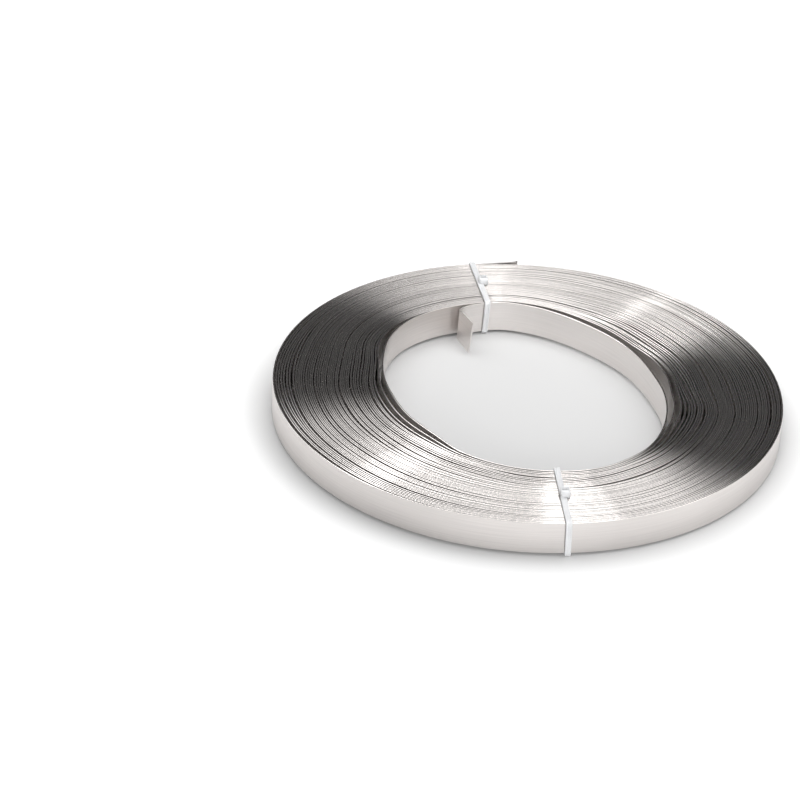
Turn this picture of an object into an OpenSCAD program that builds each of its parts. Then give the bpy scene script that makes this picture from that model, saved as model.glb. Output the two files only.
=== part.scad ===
// A coil of flat stainless steel banding strap, lying flat and bound by two nylon cable ties.
// Millimetres. +Z is up, the coil's axis is the Z axis and the floor is z = 0. +Y is the back.

/* [Strap] */
// Width of the strap, which is the height of the coil
strap_w = 15.9; // [9.5:0.1:19.1]
// Thickness of the strap
strap_t = 0.76; // [0.5:0.02:0.9]

/* [Coil] */
// Outside diameter of the coil
coil_d = 244; // [225:1:300]
// Turns that the ties pinch together
turns = 47; // [36:1:54]
// Slack between one turn and the next at the ties
turn_slack = 0.12; // [0.06:0.01:0.16]
// Depth to which the slack shows as a slot between two turns
slot_depth = 0.8; // [0.3:0.1:2]

/* [Loose turns round the bore] */
// Turns that spring away from the pack
loose_turns = 8; // [4:1:12]
// How far the innermost turn springs into the bore on the right
right_bulge = 19.5; // [12:0.5:22]
// How far the innermost turn springs into the bore on the left
left_bulge = 15; // [10:0.5:18]
// How quickly the spring dies away from turn to turn
bulge_falloff = 1.6; // [1.3:0.1:2]
// Direction in which the turns leave the front of the pack, to the right
front_right_angle = -55; // [-65:1:-50]
// Direction in which the turns leave the front of the pack, to the left
front_left_angle = -90; // [-98:1:-88]
// Direction in which the turns leave the back of the pack, to the right
back_right_angle = 99; // [90:1:100]
// Direction in which the turns leave the back of the pack, to the left
back_left_angle = 132; // [122:1:138]

/* [Inner end] */
// Direction in which the inner end leaves the pack
stub_angle = 105.5; // [105:0.5:108]
// Direction of the fold
fold_angle = 115.6; // [113:0.2:119]
// How far the fold stands in from the pack
fold_inset = 3.4; // [2.5:0.1:5]
// Length of the folded tab
tab_len = 15.6; // [8:0.2:20]

/* [Outer end] */
// Direction in which the outer end leaves the coil
tail_angle = 102; // [101:0.1:102.2]
// Length of the free outer end
tail_len = 20; // [12:0.5:30]
// How far the outer end springs out from the tangent, in degrees
tail_spring = 2.2; // [0.5:0.1:4]
// Length of the small kink at its tip
kink_len = 1.4; // [0.8:0.1:3]
// Turn of the kink, in degrees
kink_turn = 30; // [10:5:50]

/* [Cable ties] */
// Direction of the front tie
front_tie_angle = -81.5; // [-85:0.5:-60]
// Direction of the back tie
back_tie_angle = 103; // [102.8:0.1:103.3]
// Width of the tie's strap
tie_w = 2.8; // [2:0.1:3]
// Thickness of the tie's strap
tie_t = 1.1; // [0.8:0.1:1.5]
// Clearance between the tie and the coil
tie_gap = 0.2; // [0.1:0.05:0.3]
// Length of the head, along the tie
head_len = 5; // [4:0.1:6]
// Width of the head
head_w = 4.8; // [4:0.1:5.5]
// Height of the head above the tie's underside
head_h = 3.8; // [3:0.1:5]
// Radius of the head's upright corners
head_round = 0.9; // [0.4:0.1:1.4]
// How far the trimmed tail stands out of the head
nub_h = 1.2; // [0.5:0.1:3]
// Distance from the coil's outside to the middle of the front head
front_head_in = 25; // [10:0.5:36]
// Distance from the coil's outside to the middle of the back head
back_head_in = 18; // [10:0.5:36]

/* [Hidden] */
$fn = 96;
outer_r = coil_d / 2;
pitch = strap_t + turn_slack;
bore_r = outer_r - turns * pitch + turn_slack;  // inner face of the innermost turn at the ties
pack_r = bore_r + loose_turns * pitch;          // inner face of the tight turns
base_z = tie_t + tie_gap;                       // underside of the coil
top_z = base_z + strap_w;
end_gap = 0.1;                                  // between a loose turn's end and the pack
root_len = 3;                                   // of the root that joins it to the pack
root_step = 0.05;                               // that the outer end's root stands out of the coil
head_slot_gap = 0.3;                            // round the trimmed tail where it leaves the head
head_slot_depth = 1;

function polar(r, a) = [r * cos(a), r * sin(a)];
function reversed(points) = [for (i = [len(points) - 1 : -1 : 0]) points[i]];
function joined(lists) = [for (points = lists) for (p = points) p];

// Inner radius of a turn, counted outwards from the bore
function turn_r(k) = bore_r + k * pitch;

// The end of a turn and the slot beside it, from the turn's inner corner outwards
function turn_end(k, z, slot_z) = [
    [turn_r(k), z],
    [turn_r(k) + strap_t, z],
    [turn_r(k) + strap_t, slot_z],
    [turn_r(k + 1), slot_z],
];

// Half-section of the wound pack, with a slot between each two turns on both ends
module pack_section() {
    slotted = [0 : turns - 2];
    last_r = turn_r(turns - 1);
    polygon(concat(
        joined([for (k = slotted) turn_end(k, top_z, top_z - slot_depth)]),
        [[last_r, top_z], [outer_r, top_z], [outer_r, base_z], [last_r, base_z]],
        reversed(joined([for (k = slotted) turn_end(k, base_z, base_z + slot_depth)]))));
}

// The room that the loose turns leave on one side when they spring away from the tight ones,
// between two directions less than 180 degrees apart
module side_room(from, to) {
    mid = (from + to) / 2;
    translate([0, 0, base_z - 1]) linear_extrude(strap_w + 2) intersection() {
        circle(pack_r - turn_slack / 2);
        polygon([[0, 0], polar(outer_r, from), polar(2 * outer_r, mid), polar(outer_r, to)]);
    }
}

module wound_pack() {
    difference() {
        rotate_extrude() pack_section();
        side_room(front_right_angle, back_right_angle);
        side_room(back_left_angle, front_left_angle + 360);
    }
}

// An arc that leaves radius r at +-half degrees and comes in to radius crown midway has its centre
// this far behind the coil's axis
function arc_shift(r, crown, half) = (r * r - crown * crown) / (2 * (crown - r * cos(half)));

// The loose turns on one side of the bore. Each is a flat arc that stops just short of the pack,
// and a root at each end joins it there, below the slots.
module loose_side(from, to, bulge) {
    half = (to - from) / 2;
    for (k = [0 : loose_turns - 1]) {
        crown = turn_r(k) - bulge * pow(1 - k / loose_turns, bulge_falloff);
        shift = arc_shift(turn_r(k), crown, half);
        arc_r = crown + shift;
        meet = atan2(turn_r(k) * sin(half), turn_r(k) * cos(half) + shift);
        sweep = meet - end_gap / arc_r * 180 / PI;
        rotate([0, 0, (to + from) / 2]) translate([-shift, 0, base_z]) {
            rotate([0, 0, -sweep]) rotate_extrude(angle = 2 * sweep)
                translate([arc_r, 0]) square([strap_t, strap_w]);
            for (end = [-1, 1])
                rotate([0, 0, end * sweep]) translate([arc_r + strap_t / 2, 0, strap_w / 2])
                    cube([strap_t / 2, root_len, strap_w / 2], center = true);
        }
    }
}

// A strip of strap on edge that follows a bent line, with mitred corners
function left_of(v) = [-v[1], v[0]] / norm(v);
function mitre(line, i) =
    let (
        last = len(line) - 1,
        before = left_of(line[max(i, 1)] - line[max(i, 1) - 1]),
        after = left_of(line[min(i, last - 1) + 1] - line[min(i, last - 1)])
    ) (before + after) / (1 + before * after);
module bent_strap(line) {
    corners = [for (i = [0 : len(line) - 1]) i];
    translate([0, 0, base_z]) linear_extrude(strap_w) polygon(concat(
        [for (i = corners) line[i] + strap_t / 2 * mitre(line, i)],
        [for (i = reversed(corners)) line[i] - strap_t / 2 * mitre(line, i)]));
}

// The inner end leaves the pack, folds sharply and points into the bore
module inner_end() {
    start = polar(bore_r + strap_t / 2, stub_angle);
    fold = polar(bore_r - fold_inset, fold_angle);
    bent_strap([start, fold, fold - polar(tab_len, fold_angle)]);
}

// The outer end springs away from the coil just past the back tie
module outer_end() {
    dir = tail_angle - 90 + tail_spring;
    start = polar(outer_r - strap_t / 2 + root_step, tail_angle);
    tip = start + polar(tail_len, dir);
    bent_strap([start, tip, tip + polar(kink_len, dir + kink_turn)]);
}

module strap() {
    color([0.80, 0.79, 0.77]) union() {
        wound_pack();
        loose_side(front_right_angle, back_right_angle, right_bulge);
        loose_side(back_left_angle, front_left_angle + 360, left_bulge);
        inner_end();
        outer_end();
    }
}

// A rectangle with round corners, from its lower left corner
module round_rect(size, r) {
    translate([r, 0]) square([size[0] - 2 * r, size[1]]);
    translate([0, r]) square([size[0], size[1] - 2 * r]);
    for (x = [r, size[0] - r], y = [r, size[1] - r])
        translate([x, y]) circle(r);
}

// The tie's strap, round the section of the coil
module tie_loop() {
    room = [outer_r - bore_r + 2 * tie_gap, strap_w + 2 * tie_gap];
    bend_r = 2 * tie_gap;
    translate([bore_r - tie_gap - tie_t, tie_w / 2, 0]) rotate([90, 0, 0]) linear_extrude(tie_w)
        difference() {
            round_rect([room[0] + 2 * tie_t, room[1] + 2 * tie_t], bend_r + tie_t);
            translate([tie_t, tie_t]) round_rect(room, bend_r);
        }
}

// The tie's head, with the slot that its trimmed tail stands in
module tie_head(mid_r) {
    slot = [tie_t + 2 * head_slot_gap, tie_w + 2 * head_slot_gap];
    translate([mid_r, 0, top_z + tie_gap]) {
        difference() {
            translate([-head_len / 2, -head_w / 2]) linear_extrude(head_h)
                round_rect([head_len, head_w], head_round);
            translate([-slot[0] / 2, -slot[1] / 2, head_h - head_slot_depth])
                cube([slot[0], slot[1], head_slot_depth + 1]);
        }
        translate([-tie_t / 2, -tie_w / 2]) cube([tie_t, tie_w, head_h + nub_h]);
    }
}

module tie(angle, head_in) {
    color([0.93, 0.93, 0.92]) rotate([0, 0, angle]) union() {
        tie_loop();
        tie_head(outer_r - head_in);
    }
}

module front_tie() {
    tie(front_tie_angle, front_head_in);
}

module back_tie() {
    tie(back_tie_angle, back_head_in);
}

strap();
front_tie();
back_tie();
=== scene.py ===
import math
import bpy
import numpy as np
from mathutils import Matrix, Vector


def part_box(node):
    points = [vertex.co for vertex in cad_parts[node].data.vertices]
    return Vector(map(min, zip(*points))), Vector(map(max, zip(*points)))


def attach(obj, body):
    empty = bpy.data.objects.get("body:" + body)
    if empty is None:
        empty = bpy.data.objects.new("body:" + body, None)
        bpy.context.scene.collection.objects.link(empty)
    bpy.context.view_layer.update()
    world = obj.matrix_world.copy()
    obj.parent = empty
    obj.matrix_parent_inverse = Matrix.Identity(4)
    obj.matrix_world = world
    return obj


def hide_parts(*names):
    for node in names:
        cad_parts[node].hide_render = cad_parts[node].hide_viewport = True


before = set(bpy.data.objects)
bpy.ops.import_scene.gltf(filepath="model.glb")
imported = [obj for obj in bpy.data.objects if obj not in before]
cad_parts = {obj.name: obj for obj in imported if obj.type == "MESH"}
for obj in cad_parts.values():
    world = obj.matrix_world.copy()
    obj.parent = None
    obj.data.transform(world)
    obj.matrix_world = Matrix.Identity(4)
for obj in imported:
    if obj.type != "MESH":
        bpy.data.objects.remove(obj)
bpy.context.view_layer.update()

scene = bpy.context.scene
scene.view_settings.view_transform = "Standard"
mm = 0.001


# What the frame says about the coil

def tiePlace(node):
    low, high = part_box(node)
    middle = (low + high) / 2
    return math.atan2(middle.y, middle.x), math.hypot(middle.x, middle.y)


strapLow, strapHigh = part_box("strap")
outerR = strapHigh.x                      # outside of the coil
baseZ, topZ = strapLow.z, strapHigh.z     # the strap stands on edge between these
backTieAngle, tieMidR = tiePlace("back_tie")
frontTieAngle, _ = tiePlace("front_tie")
boreR = 2 * tieMidR - outerR              # inside of the coil where the ties pinch it
print("coil", round(outerR / mm, 1), "mm outside radius,", round(boreR / mm, 1), "mm bore radius")


# Small helpers

def flat(angle):
    return np.array([math.cos(angle), math.sin(angle)])


def turned(v, degrees):
    c, s = math.cos(math.radians(degrees)), math.sin(math.radians(degrees))
    return np.array([c * v[0] - s * v[1], s * v[0] + c * v[1]])


def curveThrough(knots, at, period):      # smooth closed curve through (place, value) knots
    x, y = np.array(knots, float).T
    x = np.concatenate([x[-2:] - period, x, x[:2] + period])
    y = np.concatenate([y[-2:], y, y[:2]])
    at = (at - x[2]) % period + x[2]
    slope = np.gradient(y, x)
    i = np.clip(np.searchsorted(x, at) - 1, 0, len(x) - 2)
    h = x[i + 1] - x[i]
    t = (at - x[i]) / h
    start = (2 * t**3 - 3 * t**2 + 1) * y[i] + (t**3 - 2 * t**2 + t) * h * slope[i]
    return start + (3 * t**2 - 2 * t**3) * y[i + 1] + (t**3 - t**2) * h * slope[i + 1]


def wander(rng, at, spacing):             # smooth random line, one knot every spacing
    knots = rng.normal(0, 1, int(at.max() / spacing) + 3)
    i = (at / spacing).astype(int)
    t = at / spacing - i
    t = t * t * (3 - 2 * t)
    return knots[i] * (1 - t) + knots[i + 1] * t


def addPiece(name, points, faces, material):
    mesh = bpy.data.meshes.new(name)
    mesh.from_pydata([tuple(p) for p in points], [], [tuple(f) for f in faces])
    mesh.materials.append(material)
    mesh.polygons.foreach_set("use_smooth", [True] * len(mesh.polygons))
    mesh.validate()
    piece = bpy.data.objects.new(name, mesh)
    scene.collection.objects.link(piece)
    return piece


def newMaterial(name):
    material = bpy.data.materials.new(name)
    material.use_nodes = True
    tree = material.node_tree
    return material, tree, tree.nodes["Principled BSDF"]


def mathNode(tree, operation, a, b=0.5, c=None):
    node = tree.nodes.new("ShaderNodeMath")
    node.operation = operation
    for socket, value in zip(node.inputs, (a, b, c)):
        if isinstance(value, bpy.types.NodeSocket):
            tree.links.new(value, socket)
        elif value is not None:
            socket.default_value = value
    return node.outputs[0]


def dotNode(tree, vector, direction):
    node = tree.nodes.new("ShaderNodeVectorMath")
    node.operation = "DOT_PRODUCT"
    node.inputs[1].default_value = direction
    tree.links.new(vector, node.inputs[0])
    return node.outputs["Value"]


# Fine grain: noise that can be stretched along one axis, for steel, nylon and paper

def grainGroup():
    tree = bpy.data.node_groups.new("fineGrain", "ShaderNodeTree")
    for name, kind, value in (("Vector", "NodeSocketVector", None), ("Along", "NodeSocketFloat", 1000),
                              ("Across", "NodeSocketFloat", 1000), ("Contrast", "NodeSocketFloat", 0.1)):
        socket = tree.interface.new_socket(name, in_out="INPUT", socket_type=kind)
        if value is not None:
            socket.default_value = value
    tree.interface.new_socket("Tone", in_out="OUTPUT", socket_type="NodeSocketFloat")
    tree.interface.new_socket("Height", in_out="OUTPUT", socket_type="NodeSocketFloat")
    inside, outside = tree.nodes.new("NodeGroupInput"), tree.nodes.new("NodeGroupOutput")
    split = tree.nodes.new("ShaderNodeSeparateXYZ")
    joined = tree.nodes.new("ShaderNodeCombineXYZ")
    noise = tree.nodes.new("ShaderNodeTexNoise")
    noise.inputs["Scale"].default_value = 1
    noise.inputs["Detail"].default_value = 2
    tree.links.new(inside.outputs["Vector"], split.inputs[0])
    for axis, scale in (("X", "Along"), ("Y", "Across"), ("Z", "Across")):
        stretched = mathNode(tree, "MULTIPLY", split.outputs[axis], inside.outputs[scale])
        tree.links.new(stretched, joined.inputs[axis])
    tree.links.new(joined.outputs[0], noise.inputs["Vector"])
    height = noise.outputs[0]
    swing = mathNode(tree, "SUBTRACT", height, 0.5)
    swing = mathNode(tree, "MULTIPLY", swing, inside.outputs["Contrast"])
    tree.links.new(mathNode(tree, "MULTIPLY_ADD", swing, 4, 1), outside.inputs["Tone"])
    tree.links.new(height, outside.inputs["Height"])
    return tree


fineGrain = grainGroup()


def addGrain(tree, vector, along, across, contrast):
    node = tree.nodes.new("ShaderNodeGroup")
    node.node_tree = fineGrain
    tree.links.new(vector, node.inputs["Vector"])
    node.inputs["Along"].default_value = along
    node.inputs["Across"].default_value = across
    node.inputs["Contrast"].default_value = contrast
    return node


def tinted(tree, colour, tone):           # a colour made lighter or darker by a tone round 1
    node = tree.nodes.new("ShaderNodeVectorMath")
    node.operation = "SCALE"
    if isinstance(colour, bpy.types.NodeSocket):
        tree.links.new(colour, node.inputs[0])
    else:
        node.inputs[0].default_value = colour
    tree.links.new(tone, node.inputs["Scale"])
    return node.outputs[0]


# Studio: a long softbox and three panels close above the coil, a card in front of it, a dim room
# with some light low in front, and pale paper that rises to a cove

studioSet = {
    "lampHeight": 0.28,                   # above the coil; the lamps' places and sizes are shares of it
    "softboxCentre": (0.438, 0.053),
    "softboxReach": (3.15, 0.536),        # to its edges, along and across
    "softboxTurn": -22.5,                 # degrees
    "softboxRoundness": 1.3,              # 2 would be an ellipse, and 1 a diamond
    "softboxEdge": 1.4,                   # how softly it fades out
    "softboxStrength": 2.55,
    "panels": [                           # strength and corners; each draws bright bands on the coil
        (1.8, [(0.046, 0.9), (0.061, 0.23), (0.107, -0.235), (0.164, -1.0), (0.85, -1.0),
               (0.586, -0.461), (0.454, -0.131), (0.3, 0.0), (0.243, 0.086), (0.187, 0.264),
               (0.103, 0.607), (0.055, 0.9)]),
        (2.7, [(-0.104, 0.694), (-0.305, 0.404), (-0.52, 0.2), (-1.185, -0.556), (-1.57, -0.207),
               (-0.85, 0.2), (-0.517, 0.355), (-0.365, 0.481), (-0.129, 0.744)]),
        (2.6, [(-0.863, 0.55), (0.066, 0.55), (0.002, 1.156)])],
    "panelDrop": 0.03,                    # each lamp hangs this share lower than the last
    "roomStrength": 0.085,
    "fillStrength": 3.4,                  # from the front, low down
    "fillAway": (0, 0.8, 0.6),            # the direction that the fill light faces
    "fillFade": (-0.25, -0.75),           # where it begins and where it is full
    "cardStrength": 2.6,                  # a bounce card in front, which the steel doesn't mirror
    "cardSize": (1.4, 0.3),
    "cardAway": 0.55,
    "paperColour": (0.54, 0.54, 0.54),
    "paperGrain": (9, 9, 0.006),          # along, across (per metre), contrast
    "paperRoughness": 0.9,
    "shadowInset": 4 * mm,                # the painted shadow, where the paper's glow fades, begins this far under the coil's rim
    "shadowReach": 0.045,                 # past there, till the paper is seen white
    "mirroredGlow": 0.15,                 # painted reflection: the steel sees at least this much of the paper's glow
    "litRadius": 0.4,                     # painted reflection: past it the steel sees the paper grow dark
    "darkFar": 0.75,
    "paperRadius": 12.0,
    "coveHeight": 1.8,
    "paperSides": 180,
}


def makeRoomLight():
    s = studioSet
    world = bpy.data.worlds.new("roomLight")
    scene.world = world
    world.use_nodes = True
    tree = world.node_tree
    place = tree.nodes.new("ShaderNodeTexCoord").outputs["Generated"]
    front = tree.nodes.new("ShaderNodeMapRange")
    front.interpolation_type = "SMOOTHSTEP"
    front.inputs["From Min"].default_value = s["fillFade"][0]
    front.inputs["From Max"].default_value = s["fillFade"][1]
    front.inputs["To Min"].default_value = s["roomStrength"]
    front.inputs["To Max"].default_value = s["fillStrength"]
    tree.links.new(dotNode(tree, place, s["fillAway"]), front.inputs["Value"])
    tree.links.new(front.outputs["Result"], tree.nodes["Background"].inputs["Strength"])
    tree.nodes["Background"].inputs["Color"].default_value = (1, 1, 1, 1)


def lampMaterial(name):                   # lets through what is behind it and adds its own light
    material, tree, shader = newMaterial(name)
    tree.nodes.remove(shader)
    glow = tree.nodes.new("ShaderNodeEmission")
    clear = tree.nodes.new("ShaderNodeBsdfTransparent")
    both = tree.nodes.new("ShaderNodeAddShader")
    tree.links.new(glow.outputs[0], both.inputs[0])
    tree.links.new(clear.outputs[0], both.inputs[1])
    tree.links.new(both.outputs[0], tree.nodes["Material Output"].inputs["Surface"])
    return material, tree, glow


def addLamp(name, height, points, faces, material):
    lamp = addPiece(name, points, faces, material)
    lamp.location.z = topZ + height
    lamp.visible_camera = False
    return lamp


def makeSoftbox():
    s = studioSet
    material, tree, glow = lampMaterial("softboxCloth")
    place = tree.nodes.new("ShaderNodeTexCoord").outputs["Object"]
    halves = [reach * s["lampHeight"] for reach in s["softboxReach"]]
    shares = [mathNode(tree, "ABSOLUTE", dotNode(tree, place, across))
              for across in ((1 / halves[0], 0, 0), (0, 1 / halves[1], 0))]
    shares = [mathNode(tree, "POWER", share, s["softboxRoundness"]) for share in shares]
    fade = tree.nodes.new("ShaderNodeMapRange")
    fade.interpolation_type = "SMOOTHSTEP"
    fade.inputs["From Min"].default_value = 1 + s["softboxEdge"]
    fade.inputs["From Max"].default_value = 1 - s["softboxEdge"]
    fade.inputs["To Max"].default_value = s["softboxStrength"]
    tree.links.new(mathNode(tree, "ADD", *shares), fade.inputs["Value"])
    tree.links.new(fade.outputs["Result"], glow.inputs["Strength"])
    x, y = [half * (1 + s["softboxEdge"]) ** (1 / s["softboxRoundness"]) for half in halves]
    corners = [(-x, -y, 0), (-x, y, 0), (x, y, 0), (x, -y, 0)]
    softbox = addLamp("softbox", s["lampHeight"], corners, [(0, 1, 2, 3)], material)
    softbox.location.x, softbox.location.y = [c * s["lampHeight"] for c in s["softboxCentre"]]
    softbox.rotation_euler.z = math.radians(s["softboxTurn"])


def makePanel(number, strength, corners):
    height = studioSet["lampHeight"] * (1 - studioSet["panelDrop"] * (number + 1))
    material, tree, glow = lampMaterial("panelCloth" + str(number))
    glow.inputs["Strength"].default_value = strength
    points = [(x * height, y * height, 0) for x, y in corners]
    addLamp("panel" + str(number), height, points, [tuple(range(len(points)))], material)


def makeCard():
    s = studioSet
    material, tree, glow = lampMaterial("cardCloth")
    glow.inputs["Strength"].default_value = s["cardStrength"]
    x, z = s["cardSize"][0] / 2, s["cardSize"][1]
    corners = [(-x, 0, 0), (x, 0, 0), (x, 0, z), (-x, 0, z)]
    card = addLamp("frontCard", 0, corners, [(0, 1, 2, 3)], material)
    card.location.y = -s["cardAway"]
    card.visible_glossy = False


cameraSet = {
    "lens": 135,                          # mm
    "sensorWidth": 36,
    "place": (-0.497, -10.137, 5.889),    # in outside radii of the coil, from the middle of its top
    "pitch": 59.404,                      # degrees
    "roll": 3.267,
}


def makeCamera():
    s = cameraSet
    data = bpy.data.cameras.new("camera")
    data.lens = s["lens"]
    data.sensor_width = s["sensorWidth"]
    camera = bpy.data.objects.new("camera", data)
    scene.collection.objects.link(camera)
    place = Vector(s["place"]) * outerR + Vector((0, 0, topZ))
    pitch = Matrix.Rotation(math.radians(s["pitch"]), 4, "X")
    roll = Matrix.Rotation(math.radians(s["roll"]), 4, "Z")
    camera.matrix_world = Matrix.Translation(place) @ pitch @ roll
    scene.camera = camera


def paperMaterial(name, colour):          # the camera and the steel see it whiter than it lights
    s = studioSet
    material, tree, shader = newMaterial(name)
    place = tree.nodes.new("ShaderNodeTexCoord")
    grain = addGrain(tree, place.outputs["Object"], *s["paperGrain"])
    rays = tree.nodes.new("ShaderNodeLightPath")
    away = tree.nodes.new("ShaderNodeVectorMath")
    away.operation = "LENGTH"
    tree.links.new(place.outputs["Object"], away.inputs[0])
    far = tree.nodes.new("ShaderNodeMapRange")            # painted reflection: to the steel the paper grows dark past the lit part, as the room is dark there
    far.inputs["From Min"].default_value = s["litRadius"]
    far.inputs["From Max"].default_value = s["litRadius"] * 2
    far.inputs["To Max"].default_value = s["darkFar"]
    tree.links.new(away.outputs["Value"], far.inputs["Value"])
    # painted shadow: the paper's glow fades out towards the coil's rim, by distance alone
    shaded = mathNode(tree, "SUBTRACT", outerR - s["shadowInset"], away.outputs["Value"])
    shaded = mathNode(tree, "EXPONENT", mathNode(tree, "DIVIDE", shaded, s["shadowReach"]))
    # painted reflection: glossy rays see at least mirroredGlow of the glow, even in the painted shadow
    least = mathNode(tree, "MULTIPLY", rays.outputs["Is Glossy Ray"], s["mirroredGlow"])
    wanted = mathNode(tree, "MAXIMUM", mathNode(tree, "SUBTRACT", 1, shaded), least)
    unlit = mathNode(tree, "MULTIPLY", far.outputs["Result"], rays.outputs["Is Glossy Ray"])
    lit = mathNode(tree, "SUBTRACT", 1, unlit)
    tone = mathNode(tree, "MULTIPLY", grain.outputs["Tone"], lit)
    tree.links.new(tinted(tree, colour, tone), shader.inputs["Base Color"])
    shader.inputs["Roughness"].default_value = s["paperRoughness"]
    shader.inputs["Specular IOR Level"].default_value = 0
    shader.inputs["Emission Color"].default_value = (1, 1, 1, 1)
    seen = mathNode(tree, "ADD", rays.outputs["Is Camera Ray"], rays.outputs["Is Glossy Ray"])
    seen = mathNode(tree, "ADD", seen, rays.outputs["Is Transmission Ray"])
    seen = mathNode(tree, "MULTIPLY", seen, wanted)
    # painted shade: the glow is taken off where the paper lies under the wound strap
    uncovered = tree.nodes.new("ShaderNodeAttribute")
    uncovered.attribute_name = "uncovered"
    seen = mathNode(tree, "MULTIPLY", seen, uncovered.outputs["Fac"])
    seen = mathNode(tree, "MULTIPLY", seen, lit)
    tree.links.new(seen, shader.inputs["Emission Strength"])
    return material


def addPaper(name, rings, uncovered, filled):    # rings of one count, joined one to the next
    around = len(rings[0])
    points = [p for ring in rings for p in ring]
    faces = []
    for k in range(len(rings) - 1):
        a, b = k * around, (k + 1) * around
        faces += [(a + i, b + i, b + (i + 1) % around, a + (i + 1) % around) for i in range(around)]
    if filled:
        faces.append(tuple(range(around)))
    paper = addPiece(name, points, faces, paperMaterial(name + "Paper", studioSet["paperColour"]))
    values = np.repeat(np.array(uncovered, float), around)
    paper.data.attributes.new("uncovered", "FLOAT", "POINT").data.foreach_set("value", values)
    return paper


def makePaper():
    s = studioSet
    around = np.arange(s["paperSides"]) * 2 * math.pi / s["paperSides"]
    opening = boreR - curveThrough(strapSet["springs"], np.degrees(around), 360) * mm
    # rings of the floor and how uncovered they are: painted shade, as the paper doesn't glow under the
    # wound strap
    edges = [(opening - 2 * mm, 1), (opening + 2 * mm, 0), (outerR - 3.5 * mm, 0), (outerR - 1.5 * mm, 1),
             (0.5, 1), (2.0, 1), (s["paperRadius"], 1)]
    rings = [np.stack([r * np.cos(around), r * np.sin(around), 0 * around], axis=1) for r, _ in edges]
    floor = addPaper("floor", rings, [bare for _, bare in edges], True)
    top = rings[-1] + np.array([0, 0, s["coveHeight"]])
    cove = addPaper("cove", [rings[-1], top], (1, 1), False)


# The strap: one long strip on edge, wound from its folded inner end to its free outer end

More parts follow.
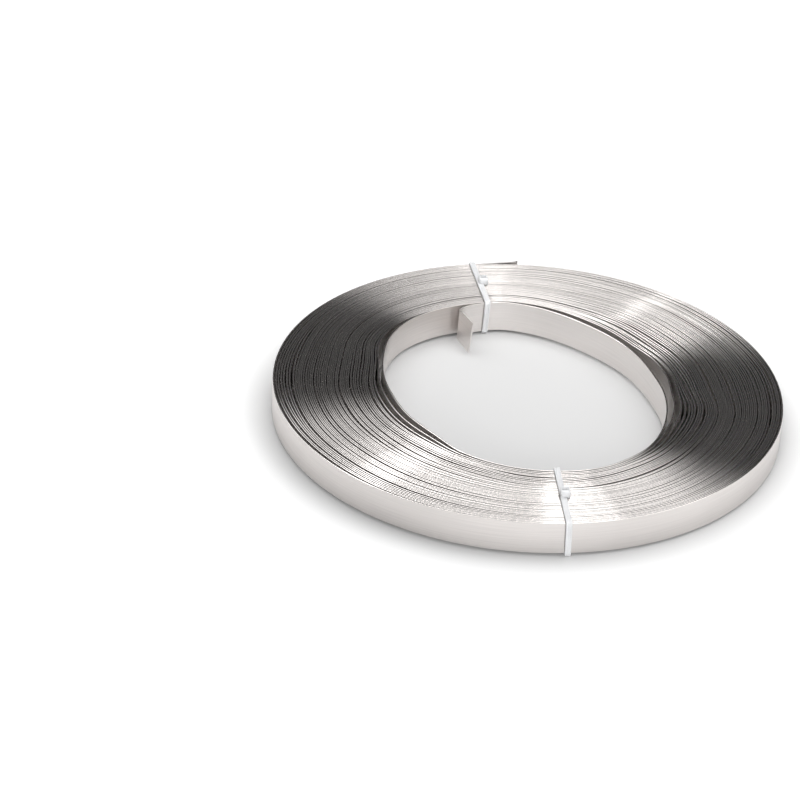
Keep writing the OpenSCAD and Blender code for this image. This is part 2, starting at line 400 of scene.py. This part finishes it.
strapSet = {
    "thickness": 0.76 * mm,
    "crown": 0.19 * mm,         # height of the rounded slit edge
    "turns": 47,
    "steps": 170,               # in one turn
    "tieSlack": 0.12 * mm,      # between turns under the ties
    "springs": [                # (direction, how many mm the innermost turn springs into the bore)
        (-180, 12.9), (-165, 15.3), (-149, 15.6), (-130, 14.5), (-115, 9.6), (-100, 6.5),
        (-90, 4.9), (-82, 4.0), (-72, 3.0), (-64, 2.9), (-55, 4.0), (-42, 6.2), (-30, 9.7),
        (-17, 13.2), (0, 16.6), (13, 18.6), (26, 18.7), (38, 17.6), (50, 15.9), (63, 13.2),
        (75, 9.0), (87, 4.0), (98, 0.3), (110, 0.0), (128, 0.0), (138, 1.0), (150, 4.2), (165, 9.5)],
    "openGaps": [               # (turn, direction, half its reach in degrees, mm)
        (0, 20, 16, 3.0), (0, 30, 62, 2.3), (0, -14, 12, 1.0), (0, -150, 30, 2.2), (0, 150, 16, 1.4),
        (1, 8, 18, 1.0), (1, -24, 28, 2.0), (1, -152, 30, 2.0), (2, 55, 16, 1.0), (2, -24, 24, 1.6),
        (2, -148, 26, 1.0), (3, 31, 14, 1.1), (3, -18, 20, 1.2), (4, -34, 22, 1.1), (4, -89, 13, 1.1),
        (4, -160, 20, 0.8), (5, 50, 16, 1.1), (5, 2, 12, 0.8), (7, 22, 15, 1.0), (8, -118, 18, 0.6),
        (8, 158, 16, 0.7), (9, 36, 24, 1.4), (9, -16, 20, 1.1), (12, -54, 19, 1.3), (45, -149, 20, 0.8),
        (45, 160, 20, 0.6), (14, -38, 20, 0.5), (21, -38, 14, 0.5), (25, -52, 18, 0.4), (24, -20, 20, 0.5),
        (39, -34, 14, 0.4), (41, -10, 18, 0.5), (44, -32, 18, 0.4), (15, 5, 10, 0.5), (15, 26, 10, 0.4),
        (21, 12, 14, 0.4), (21, 38, 12, 0.4), (24, 10, 16, 0.4), (27, 5, 12, 0.4), (31, 8, 14, 0.5),
        (34, 30, 22, 0.4), (37, 12, 16, 0.5), (43, 14, 18, 0.5), (44, 32, 16, 0.5), (10, -100, 14, 0.4),
        (12, -165, 12, 0.4), (17, -150, 18, 0.6), (22, -152, 14, 0.5), (27, -150, 16, 0.5),
        (35, -153, 16, 0.5), (41, -170, 14, 0.5), (43, -155, 20, 0.5), (0, 140, 12, 0.8),
        (0, 156, 10, 1.2), (2, 160, 12, 0.6), (9, 130, 18, 0.5), (38, 167, 12, 0.4), (43, 155, 18, 0.5),
        (0, -82, 26, 0.5), (1, -84, 24, 0.4), (2, -80, 24, 0.3), (3, -84, 20, 0.3), (5, -80, 22, 0.4),
        (6, -78, 22, 0.4), (7, -80, 20, 0.3), (0, 68, 24, 1.3)],
    "looseArcs": 60,            # smaller openings of the pack, each in a place of its own
    "looseArcFrom": 5,          # turn
    "looseArcSize": (0.2, 0.5),     # mm
    "looseArcReach": (16, 60),      # degrees
    "tieHold": 0.8,             # the ties press them shut by this share
    "tieHoldReach": 0.04,
    "openShare": 0.7,           # of the slack goes into opened gaps at most, the rest is tight gaps
    "unevenness": 1.1,          # of the tight gaps
    "unevenTurns": 0.8,         # turns over which they widen or narrow
    "darkGap": 0.5 * mm,        # faces closer than this get painted shade, as if they lost their light to each other
    "darkSide": 7,              # keeps that painted shade on the faces and off the slit edges
    "telescope": 0.05 * mm,     # how far turns stand above or below each other
    "telescopeMost": 0.15 * mm,
    "telescopeTurns": 0.6,      # turns over which that changes
    "edgeTilt": 1.3,            # degrees that the slit edge leans to one side or the other
    "edgeTiltTurns": 0.4,
    "edgeTurns": (90, 66, 36, 12, -12, -36, -66, -90),    # directions of the upper crown's corners
    "footTurns": (90, 30, -30, -90),                      # and the lower one's, which hardly shows
    "foldAngle": math.radians(115.6),
    "foldIn": 3.4 * mm,         # the fold stands in from the pack
    "foldBend": 0.8 * mm,
    "stubBend": 0.35,           # how round the end comes off the pack before the fold
    "tabLength": 15.6 * mm,
    "tabLean": 1.6 * mm,        # the foot of the tab's tip stands out sideways
    "tailSpring": 0.2,          # degrees that the outer end springs out from the tangent
    "tailLength": 22.5 * mm,
    "tailShade": 0.6,           # painted shade on the outer end's inner face, where it stands in the shade of the pack
    "kinkLength": 1.1 * mm,
    "kinkTurn": 34,             # degrees
    "seed": 11,
}


def openArc(along, turn, direction, reach, size):      # one gap that opens and closes smoothly
    centre = turn + (math.degrees(backTieAngle) - direction) % 360 / 360
    return size * mm * np.exp(-np.abs((along - centre) * 360 / reach) ** 3)


def windTurns(rng):                       # angle and radius of the strip's middle line, turn by turn
    s = strapSet
    turns, steps, t = s["turns"], s["steps"], s["thickness"]
    along = np.arange(turns * steps + 1) / steps
    angle = backTieAngle - 2 * math.pi * along
    spring = curveThrough(s["springs"], np.degrees(angle), 360)
    tight = np.exp(s["unevenness"] * wander(rng, along, s["unevenTurns"]))
    arcs = s["looseArcs"]
    loose = zip(rng.uniform(s["looseArcFrom"], turns - 1, arcs), rng.uniform(-180, 180, arcs),
                rng.uniform(*s["looseArcReach"], arcs), rng.uniform(*s["looseArcSize"], arcs))
    opened = np.zeros_like(along)
    for turn, direction, reach, size in loose:
        opened += openArc(along, int(turn), direction, reach, size)
    for tie in (backTieAngle, frontTieAngle):
        opened *= 1 - s["tieHold"] * np.exp((np.cos(angle - tie) - 1) / s["tieHoldReach"])
    for gap in s["openGaps"]:
        opened += openArc(along, *gap)
    tight, opened = [byTurn(v, turns, steps) for v in (tight, opened)]
    pitch = (outerR - boreR + s["tieSlack"]) / turns
    phase = np.arange(steps + 1) / steps
    inner = boreR + t / 2 + pitch * phase - spring[:steps + 1] * mm
    outer = outerR - t / 2 - pitch * (1 - phase)
    slack = outer - inner - (turns - 1) * t
    opened *= np.minimum(1, s["openShare"] * slack / np.maximum(opened.sum(0), 1e-9))
    gaps = opened + (slack - opened.sum(0)) * tight / tight.sum(0)
    radii = inner + np.vstack([np.zeros(steps + 1), np.cumsum(gaps + t, axis=0)])
    print("gaps between turns", round(gaps.min() / mm, 3), "to", round(gaps.max() / mm, 2), "mm")
    away = np.full(steps + 1, 1.0)            # nothing stands inside the first turn or outside the last
    beside = [np.vstack(v) for v in ((away, gaps), (gaps, away))]
    return (along, angle, *[np.append(v[:, :-1].ravel(), v[-1, -1]) for v in (radii, *beside)])


def byTurn(values, turns, steps):         # a row for each gap, from one turn to the next
    table = values[:-1].reshape(turns, steps)
    table = np.hstack([table, np.append(table[1:, 0], values[-1])[:, None]])
    return table[:-1]


def innerEnd(line):                       # from the tab's tip, over the fold, to the first turn
    s = strapSet
    fold = (boreR - s["foldIn"]) * flat(s["foldAngle"])
    inward = -flat(s["foldAngle"])
    back = (line[0] - line[1]) / np.linalg.norm(line[0] - line[1])
    reach = np.linalg.norm(fold - line[0])
    u = np.linspace(0, 1, 16)[1:, None]
    stub = line[0] + back * reach * u * (1 - u) + (fold - line[0]) * u * (1 - (1 - u) * s["stubBend"])
    coming = (stub[-1] - stub[-2]) / np.linalg.norm(stub[-1] - stub[-2])
    a, b = fold - coming * s["foldBend"], fold + inward * s["foldBend"]
    v = np.linspace(0, 1, 7)[:, None]
    bend = (1 - v) ** 2 * a + 2 * v * (1 - v) * fold + v * v * b
    tab = fold + inward * np.linspace(s["foldBend"] * 1.5, s["tabLength"], 5)[:, None]
    return np.vstack([stub[:-2], bend, tab])[::-1]


def outerEnd(line):                       # leaves the back tie almost straight, with a small kink
    s = strapSet
    ahead = (line[-1] - line[-2]) / np.linalg.norm(line[-1] - line[-2])
    outward = turned(ahead, s["tailSpring"])
    tail = line[-1] + outward * s["tailLength"] * np.linspace(0.06, 1, 12)[:, None]
    kink = tail[-1] + turned(outward, s["kinkTurn"]) * s["kinkLength"] * np.array([[0.5], [1]])
    return np.vstack([tail, kink])


def edgeSection():                        # outward offset, height, normal, and how much it is slit edge
    s = strapSet
    half, crown = s["thickness"] / 2, s["crown"]
    section = []
    for up, turns in ((1, s["edgeTurns"]), (-1, s["footTurns"])):
        for turn in np.radians(turns):
            x = half * math.sin(turn) * up
            z = (topZ - crown if up > 0 else baseZ + crown) + up * crown * math.cos(turn)
            normal = np.array([math.sin(turn) * up / half, up * math.cos(turn) / crown])
            section.append((x, z, *normal / np.linalg.norm(normal), float(abs(math.cos(turn)) > 0.1)))
    return np.array(section).T


def shade(gap):                           # painted shade: how much light two faces this far apart keep from each other
    return np.exp(-np.maximum(gap, 0) / strapSet["darkGap"])


def makeStrap(material):
    s = strapSet
    rng = np.random.default_rng(s["seed"])
    along, angle, radius, inside, outside = windTurns(rng)
    line = radius[:, None] * np.stack([np.cos(angle), np.sin(angle)], axis=1)
    lift = s["telescope"] * wander(rng, along, s["telescopeTurns"])
    lift = np.clip(lift, -s["telescopeMost"], s["telescopeMost"])
    tilt = np.radians(s["edgeTilt"]) * wander(rng, along, s["edgeTiltTurns"])
    head, tail = innerEnd(line), outerEnd(line)
    path = np.vstack([head, line, tail])
    lift = np.concatenate([np.full(len(head), lift[0]), lift, np.full(len(tail), lift[-1])])
    tilt = np.concatenate([np.zeros(len(head)), tilt, np.zeros(len(tail))])
    inside, outside = [np.concatenate([np.zeros(len(head)), shade(v), np.full(len(tail), end)])
                       for v, end in ((inside, s["tailShade"]), (outside, 0))]

    step = np.diff(path, axis=0)
    size = np.linalg.norm(step, axis=1)
    unit = step / size[:, None]
    ahead = np.vstack([unit[:1], unit[:-1] + unit[1:], unit[-1:]])
    ahead /= np.linalg.norm(ahead, axis=1)[:, None]
    outward = np.stack([-ahead[:, 1], ahead[:, 0]], axis=1)     # the winding runs clockwise
    mitre = np.ones(len(path))
    mitre[1:-1] = 1 / np.clip((unit[:-1] * ahead[1:-1]).sum(1), 0.5, 1)
    arc = np.concatenate([[0], np.cumsum(size)])

    edgeX, z, nx, nz, slit = edgeSection()
    n, count = len(path), len(edgeX)
    lean = tilt[:, None] * slit
    normalX = nx * np.cos(lean) + nz * np.sin(lean)
    normalZ = nz * np.cos(lean) - nx * np.sin(lean)
    points = np.empty((n, count, 3))
    foot = np.zeros(n)
    foot[:len(head) // 2] = np.linspace(s["tabLean"], 0, len(head) // 2)
    x = edgeX * mitre[:, None] + foot[:, None] * (topZ - z) / (topZ - baseZ)
    points[..., :2] = path[:, None] + outward[:, None] * x[..., None]
    points[..., 2] = z + lift[:, None]
    normals = np.empty((n, count, 3))
    normals[..., :2] = outward[:, None] * normalX[..., None]
    normals[..., 2] = normalZ
    facing = edgeX / s["thickness"] * 2                       # 1 on the outer face, -1 on the inner
    # painted shade on the flat faces that face a close neighbouring turn, and on the outer end's inner
    # face
    dark = (inside[:, None] * np.clip(-facing, 0, 1) ** s["darkSide"]
            + outside[:, None] * np.clip(facing, 0, 1) ** s["darkSide"])
    points, normals = points.reshape(-1, 3), normals.reshape(-1, 3)
    for end, way in ((0, -1), (n - 1, 1)):                    # the sheared ends have corners of their own
        square = np.tile([*(way * ahead[end]), 0.0], (count, 1))
        points = np.concatenate([points, points[end * count:(end + 1) * count]])
        normals = np.concatenate([normals, square])

    i, k = np.meshgrid(np.arange(n - 1), np.arange(count), indexing="ij")
    near, far = i * count, (i + 1) * count
    k2 = (k + 1) % count
    quads = np.stack([near + k, near + k2, far + k2, far + k], axis=-1).reshape(-1, 4)
    caps = [n * count + np.arange(count)[::-1], (n + 1) * count + np.arange(count)]
    loops = np.concatenate([quads.ravel(), *caps]).astype(np.int32)
    starts = np.append(np.arange(len(quads)) * 4, [len(quads) * 4, len(quads) * 4 + count])
    corners = np.stack([edgeX, z], axis=1)
    around = np.linalg.norm(np.diff(np.vstack([corners, corners[:1]]), axis=0), axis=1)
    around = np.concatenate([[0], np.cumsum(around)])
    u = np.stack([arc[i], arc[i], arc[i + 1], arc[i + 1]], axis=-1).ravel()
    v = np.stack([around[k], around[k + 1], around[k + 1], around[k]], axis=-1).ravel()
    u = np.concatenate([u, edgeX[::-1], arc[-1] + edgeX])
    v = np.concatenate([v, z[::-1], z])

    mesh = bpy.data.meshes.new("banding_strap")
    mesh.vertices.add((n + 2) * count)
    mesh.vertices.foreach_set("co", points.ravel())
    mesh.loops.add(len(loops))
    mesh.loops.foreach_set("vertex_index", loops)
    mesh.polygons.add(len(starts))
    mesh.polygons.foreach_set("loop_start", starts.astype(np.int32))
    mesh.polygons.foreach_set("use_smooth", np.ones(len(starts), bool))
    mesh.update(calc_edges=True)
    mesh.uv_layers.new(name="strip").data.foreach_set("uv", np.stack([u, v], axis=1).ravel())
    handled = np.repeat((np.arange(n) < len(head)).astype(float), count)
    marks = {"slitEdge": np.tile(slit, n), "paintedCreviceShade": dark.ravel(), "handled": handled}
    for name, values in marks.items():
        values = np.append(values, np.zeros(2 * count))       # none of them on the sheared ends
        mesh.attributes.new(name, "FLOAT", "POINT").data.foreach_set("value", values)
    mesh.validate()
    mesh.normals_split_custom_set_from_vertices(normals.tolist())
    mesh.materials.append(material)
    piece = bpy.data.objects.new("banding_strap", mesh)
    scene.collection.objects.link(piece)
    print("strap of", round(arc[-1], 1), "m in", len(mesh.polygons), "faces")
    return piece


steelSet = {
    "colour": (0.72, 0.687, 0.667),
    "flatRoughness": 0.32,
    "edgeRoughness": 0.18,
    "anisotropy": 0.9,
    "rollingLines": (25, 1800, 0.05),     # along, across (per metre), contrast
    "clouds": (14, 60, 0.04),
    "burr": (1500, 1700, 0.14),           # of the slit edges
    "burrHeight": 0.0015 * mm,
    "turnTone": (4, 40, 0.06),            # some turns were slit cleaner than others
    "bruises": (450, 450, 0.0),           # small dull spots on the slit edges
    "bruiseFrom": (0.76, 0.8),
    "bruiseRoughness": 0.6,
    "endRoughness": 0.7,                  # added where the inner end was sheared and folded
    "paintedShadeTone": 0.3,                   # what is left of the colour in the painted shade where turns lie close
}


def steelMaterial():
    s = steelSet
    material, tree, shader = newMaterial("rolledStainless")
    strip = tree.nodes.new("ShaderNodeUVMap")
    strip.uv_map = "strip"
    edge = tree.nodes.new("ShaderNodeAttribute")
    edge.attribute_name = "slitEdge"
    slit = edge.outputs["Fac"]
    lines = addGrain(tree, strip.outputs[0], *s["rollingLines"])
    clouds = addGrain(tree, strip.outputs[0], *s["clouds"])
    burr = addGrain(tree, strip.outputs[0], *s["burr"])
    turns = addGrain(tree, strip.outputs[0], *s["turnTone"])
    bruises = addGrain(tree, strip.outputs[0], *s["bruises"])
    tone = mathNode(tree, "MULTIPLY", lines.outputs["Tone"], clouds.outputs["Tone"])
    speckle = mathNode(tree, "SUBTRACT", burr.outputs["Tone"], 1)
    speckle = mathNode(tree, "ADD", speckle, mathNode(tree, "SUBTRACT", turns.outputs["Tone"], 1))
    tone = mathNode(tree, "MULTIPLY_ADD", speckle, slit, tone)
    # painted shade: the colour darkens where turns lie close
    paintedCreviceShade = tree.nodes.new("ShaderNodeAttribute")
    paintedCreviceShade.attribute_name = "paintedCreviceShade"
    opened = mathNode(tree, "MULTIPLY_ADD", paintedCreviceShade.outputs["Fac"], s["paintedShadeTone"] - 1, 1)
    tone = mathNode(tree, "MULTIPLY", tone, opened)
    tree.links.new(tinted(tree, s["colour"], tone), shader.inputs["Base Color"])
    smoother = s["edgeRoughness"] - s["flatRoughness"]
    rough = mathNode(tree, "MULTIPLY_ADD", slit, smoother, s["flatRoughness"])
    rough = mathNode(tree, "MULTIPLY", rough, clouds.outputs["Tone"])
    bruised = tree.nodes.new("ShaderNodeMapRange")
    bruised.inputs["From Min"].default_value = s["bruiseFrom"][0]
    bruised.inputs["From Max"].default_value = s["bruiseFrom"][1]
    bruised.inputs["To Max"].default_value = s["bruiseRoughness"]
    tree.links.new(bruises.outputs["Height"], bruised.inputs["Value"])
    rough = mathNode(tree, "MULTIPLY_ADD", bruised.outputs["Result"], slit, rough)
    handled = tree.nodes.new("ShaderNodeAttribute")
    handled.attribute_name = "handled"
    dull = mathNode(tree, "MULTIPLY", handled.outputs["Fac"], s["endRoughness"])
    rough = mathNode(tree, "MULTIPLY_ADD", dull, slit, rough)
    tree.links.new(rough, shader.inputs["Roughness"])
    bump = tree.nodes.new("ShaderNodeBump")
    bump.inputs["Distance"].default_value = s["burrHeight"]
    tree.links.new(mathNode(tree, "MULTIPLY", burr.outputs["Height"], slit), bump.inputs["Height"])
    tree.links.new(bump.outputs[0], shader.inputs["Normal"])
    tangent = tree.nodes.new("ShaderNodeTangent")
    tangent.direction_type = "UV_MAP"
    tangent.uv_map = "strip"
    tree.links.new(tangent.outputs[0], shader.inputs["Tangent"])
    shader.inputs["Metallic"].default_value = 1
    shader.inputs["Anisotropic"].default_value = s["anisotropy"]
    shader.inputs["Anisotropic Rotation"].default_value = 0.25   # rougher across the rolling lines
    return material


makeRoomLight()
makeSoftbox()
for number, panel in enumerate(studioSet["panels"]):
    makePanel(number, *panel)
makeCard()
makeCamera()
makePaper()
print("studio and camera ready")
strap = makeStrap(steelMaterial())
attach(strap, "root")
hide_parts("strap")


# Two nylon cable ties round the section of the coil

tieSet = {
    "width": 2.8 * mm,
    "gap": 0.2 * mm,            # between the tie and the coil
    "pull": 0.16 * mm,          # the band lies closer than that on the outside
    "bend": 1.3 * mm,           # radius of the band's middle line at the corners
    "railWidth": 0.5 * mm,
    "recess": 0.16 * mm,        # of the band between its rails
    "toothPitch": 1.1 * mm,
    "toothFrom": 0.45,          # share of the pitch that is the gap between two teeth
    "toothHeight": 0.09 * mm,
    "round": 0.18 * mm,         # of the band's edges
    "headSize": (5.0 * mm, 4.6 * mm, 3.8 * mm),   # along the band, across it, up
    "headRound": 1.0 * mm,
    "headBevel": 0.7 * mm,
    "slotRoom": (0.2 * mm, -0.1 * mm),      # wider than the band's thickness and width
    "slotRound": 0.3 * mm,
    "slotRim": (0.1 * mm, 0.05 * mm),       # chamfer at its mouth, outwards and down
    "slotDepth": 0.06 * mm,
    "nubUp": 0.2 * mm,          # the trimmed tail stands out of the head
    "nubNarrower": 0.3 * mm,    # than the band
    "nubRound": 0.2 * mm,
    "nubRings": 9,              # every second one is notched
    "nubSlope": 0.35 * mm,      # of its cut
    "steps": 440,
    "ties": {
        "back_tie": {
            "angle": backTieAngle,
            "reach": 0,                           # mm into the bore, past the strap's own place
            "headAt": 0.825,                      # share of the outside radius
            "headShift": -0.4,                    # mm to the side
            "slants": (0.6, 1.7, 2.3, 1.0),       # mm to the side, going round from the top outside
        },
        "front_tie": {
            "angle": frontTieAngle,
            "reach": 3.9,
            "headAt": 0.815,
            "headShift": 0.9,
            "slants": (-0.9, 0.8, 0.8, -0.4),
        },
    },
}


def tiePath(s, thickness, reach):         # closed middle line of the band: radius, height, normal, length
    gap, r = s["gap"] + thickness / 2, s["bend"]
    low, high = (boreR - gap - reach, baseZ - gap), (outerR + gap - s["pull"], topZ + gap)
    corners = [((high[0] - r, high[1] - r), 0), ((low[0] + r, high[1] - r), 90),
               ((low[0] + r, low[1] + r), 180), ((high[0] - r, low[1] + r), 270)]
    line = []
    for (cx, cz), start in corners:
        for a in np.radians(np.linspace(start, start + 90, 9)):
            line.append((cx + r * math.cos(a), cz + r * math.sin(a), math.cos(a), math.sin(a)))
    line = np.array(line + line[:1])
    far = np.concatenate([[0], np.cumsum(np.linalg.norm(np.diff(line[:, :2], axis=0), axis=1))])
    at = np.linspace(0, far[-1], s["steps"] + 1)[:-1]
    return np.stack([np.interp(at, far, line[:, k]) for k in range(4)], axis=1), at


def bandSection(s, thickness):            # (across, out, is recess) round the band's section
    w, t, c, rail = s["width"] / 2, thickness / 2, s["round"], s["railWidth"]
    right = [(w - rail - c, t - s["recess"], 1), (w - rail, t, 0), (w - c, t, 0), (w, t - c, 0),
             (w, -t + c, 0), (w - c, -t, 0)]
    return right + [(-a, o, m) for a, o, m in right[::-1]]


def makeTie(node, own, material):         # own is what sets this tie apart from the other
    s = tieSet
    thickness = baseZ - s["gap"]
    path, at = tiePath(s, thickness, own["reach"] * mm)
    section = bandSection(s, thickness)
    count, n = len(section), len(path)
    outerTop, innerTop, innerBottom, outerBottom = [v * mm for v in own["slants"]]
    points = []
    for (r, z, nr, nz), far in zip(path, at):
        a = (r - boreR) / (outerR - boreR)
        b = (z - baseZ) / (topZ - baseZ)
        shift = ((outerTop * a + innerTop * (1 - a)) * b
                 + (outerBottom * a + innerBottom * (1 - a)) * (1 - b))
        tooth = s["toothHeight"] * (far / s["toothPitch"] % 1 > s["toothFrom"])
        for across, out, recess in section:
            o = out + tooth * recess
            points.append((r + nr * o, across + shift, z + nz * o))
    faces = [(i * count + k, i * count + (k + 1) % count, (i + 1) % n * count + (k + 1) % count,
              (i + 1) % n * count + k) for i in range(n) for k in range(count)]
    headPoints, headFaces = tieHead(s, thickness, own["headAt"] * outerR, own["headShift"] * mm)
    faces += [[v + len(points) for v in face] for face in headFaces]
    points += headPoints
    c, q = math.cos(own["angle"]), math.sin(own["angle"])
    placed = [(x * c - y * q, x * q + y * c, z) for x, y, z in points]
    tie = addPiece(node + "_nylon", placed, faces, material)
    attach(tie, "root")
    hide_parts(node)
    return tie


def roundBox(sizeX, sizeY, corner, perCorner=7):
    points = []
    for k, (sx, sy) in enumerate(((1, 1), (-1, 1), (-1, -1), (1, -1))):
        cx, cy = sx * (sizeX / 2 - corner), sy * (sizeY / 2 - corner)
        for a in np.radians(np.linspace(90 * k, 90 * k + 90, perCorner)):
            points.append((cx + corner * math.cos(a), cy + corner * math.sin(a)))
    return points


def loft(rings):                          # stacked rings of equal count, closed at both ends
    count = len(rings[0])
    points = [p for ring in rings for p in ring]
    faces = []
    for k in range(len(rings) - 1):
        a, b = k * count, (k + 1) * count
        faces += [(a + i, a + (i + 1) % count, b + (i + 1) % count, b + i) for i in range(count)]
    faces.append(tuple(range(count))[::-1])
    faces.append(tuple((len(rings) - 1) * count + i for i in range(count)))
    return points, faces


def tieHead(s, thickness, headR, shift):
    length, width, height = s["headSize"]
    bevel, corner = s["headBevel"], s["headRound"]
    floor = topZ + s["gap"] * 0.5
    slotX, slotY = thickness + s["slotRoom"][0], s["width"] + s["slotRoom"][1]
    rim, rimDepth = s["slotRim"]
    levels = [(bevel * 0.6, 0), (0, bevel * 0.6), (0, height - bevel), (bevel * 0.3, height - bevel * 0.3),
              (bevel, height)]
    rings = []
    for inset, up in levels:
        outline = roundBox(length - 2 * inset, width - 2 * inset, corner - inset * 0.5)
        rings.append([(headR + x, shift + y, floor + up) for x, y in outline])
    for grow, up in ((rim, height), (0, height - rimDepth), (0, height - s["slotDepth"])):
        outline = roundBox(slotX + 2 * grow, slotY + 2 * grow, s["slotRound"])
        rings.append([(headR + x, shift + y, floor + up) for x, y in outline])
    points, faces = loft(rings)
    nub = []                              # the trimmed tail, with its teeth
    foot, top, last = height - s["slotDepth"] * 1.1, height + s["nubUp"], s["nubRings"] - 1
    for j, up in enumerate(np.linspace(foot, top, s["nubRings"])):
        notch = s["toothHeight"] * (j % 2)
        outline = roundBox(thickness - 2 * notch, s["width"] - s["nubNarrower"], s["nubRound"], 3)
        slope = s["nubSlope"] * (j == last) / s["width"]
        nub.append([(headR + x, shift + y, floor + up + slope * y) for x, y in outline])
    nubPoints, nubFaces = loft(nub)
    faces += [[v + len(points) for v in face] for face in nubFaces]
    return points + nubPoints, faces


nylonSet = {
    "colour": (0.60, 0.605, 0.615),
    "roughness": 0.36,
    "mottle": (700, 700, 0.03),           # along, across (per metre), contrast
    "mottleHeight": 0.03 * mm,
    "glow": 0.35,                         # how much light goes in and comes out again
    "depth": 0.7 * mm,
}


def nylonMaterial():
    s = nylonSet
    material, tree, shader = newMaterial("naturalNylon")
    place = tree.nodes.new("ShaderNodeTexCoord")
    mottle = addGrain(tree, place.outputs["Object"], *s["mottle"])
    tree.links.new(tinted(tree, s["colour"], mottle.outputs["Tone"]), shader.inputs["Base Color"])
    rough = mathNode(tree, "MULTIPLY", mottle.outputs["Tone"], s["roughness"])
    tree.links.new(rough, shader.inputs["Roughness"])
    bump = tree.nodes.new("ShaderNodeBump")
    bump.inputs["Distance"].default_value = s["mottleHeight"]
    tree.links.new(mottle.outputs["Height"], bump.inputs["Height"])
    tree.links.new(bump.outputs[0], shader.inputs["Normal"])
    shader.inputs["Subsurface Weight"].default_value = s["glow"]
    shader.inputs["Subsurface Radius"].default_value = (1, 1, 1)
    shader.inputs["Subsurface Scale"].default_value = s["depth"]
    return material


nylon = nylonMaterial()
for node, own in tieSet["ties"].items():
    makeTie(node, own, nylon)
print("ties ready")
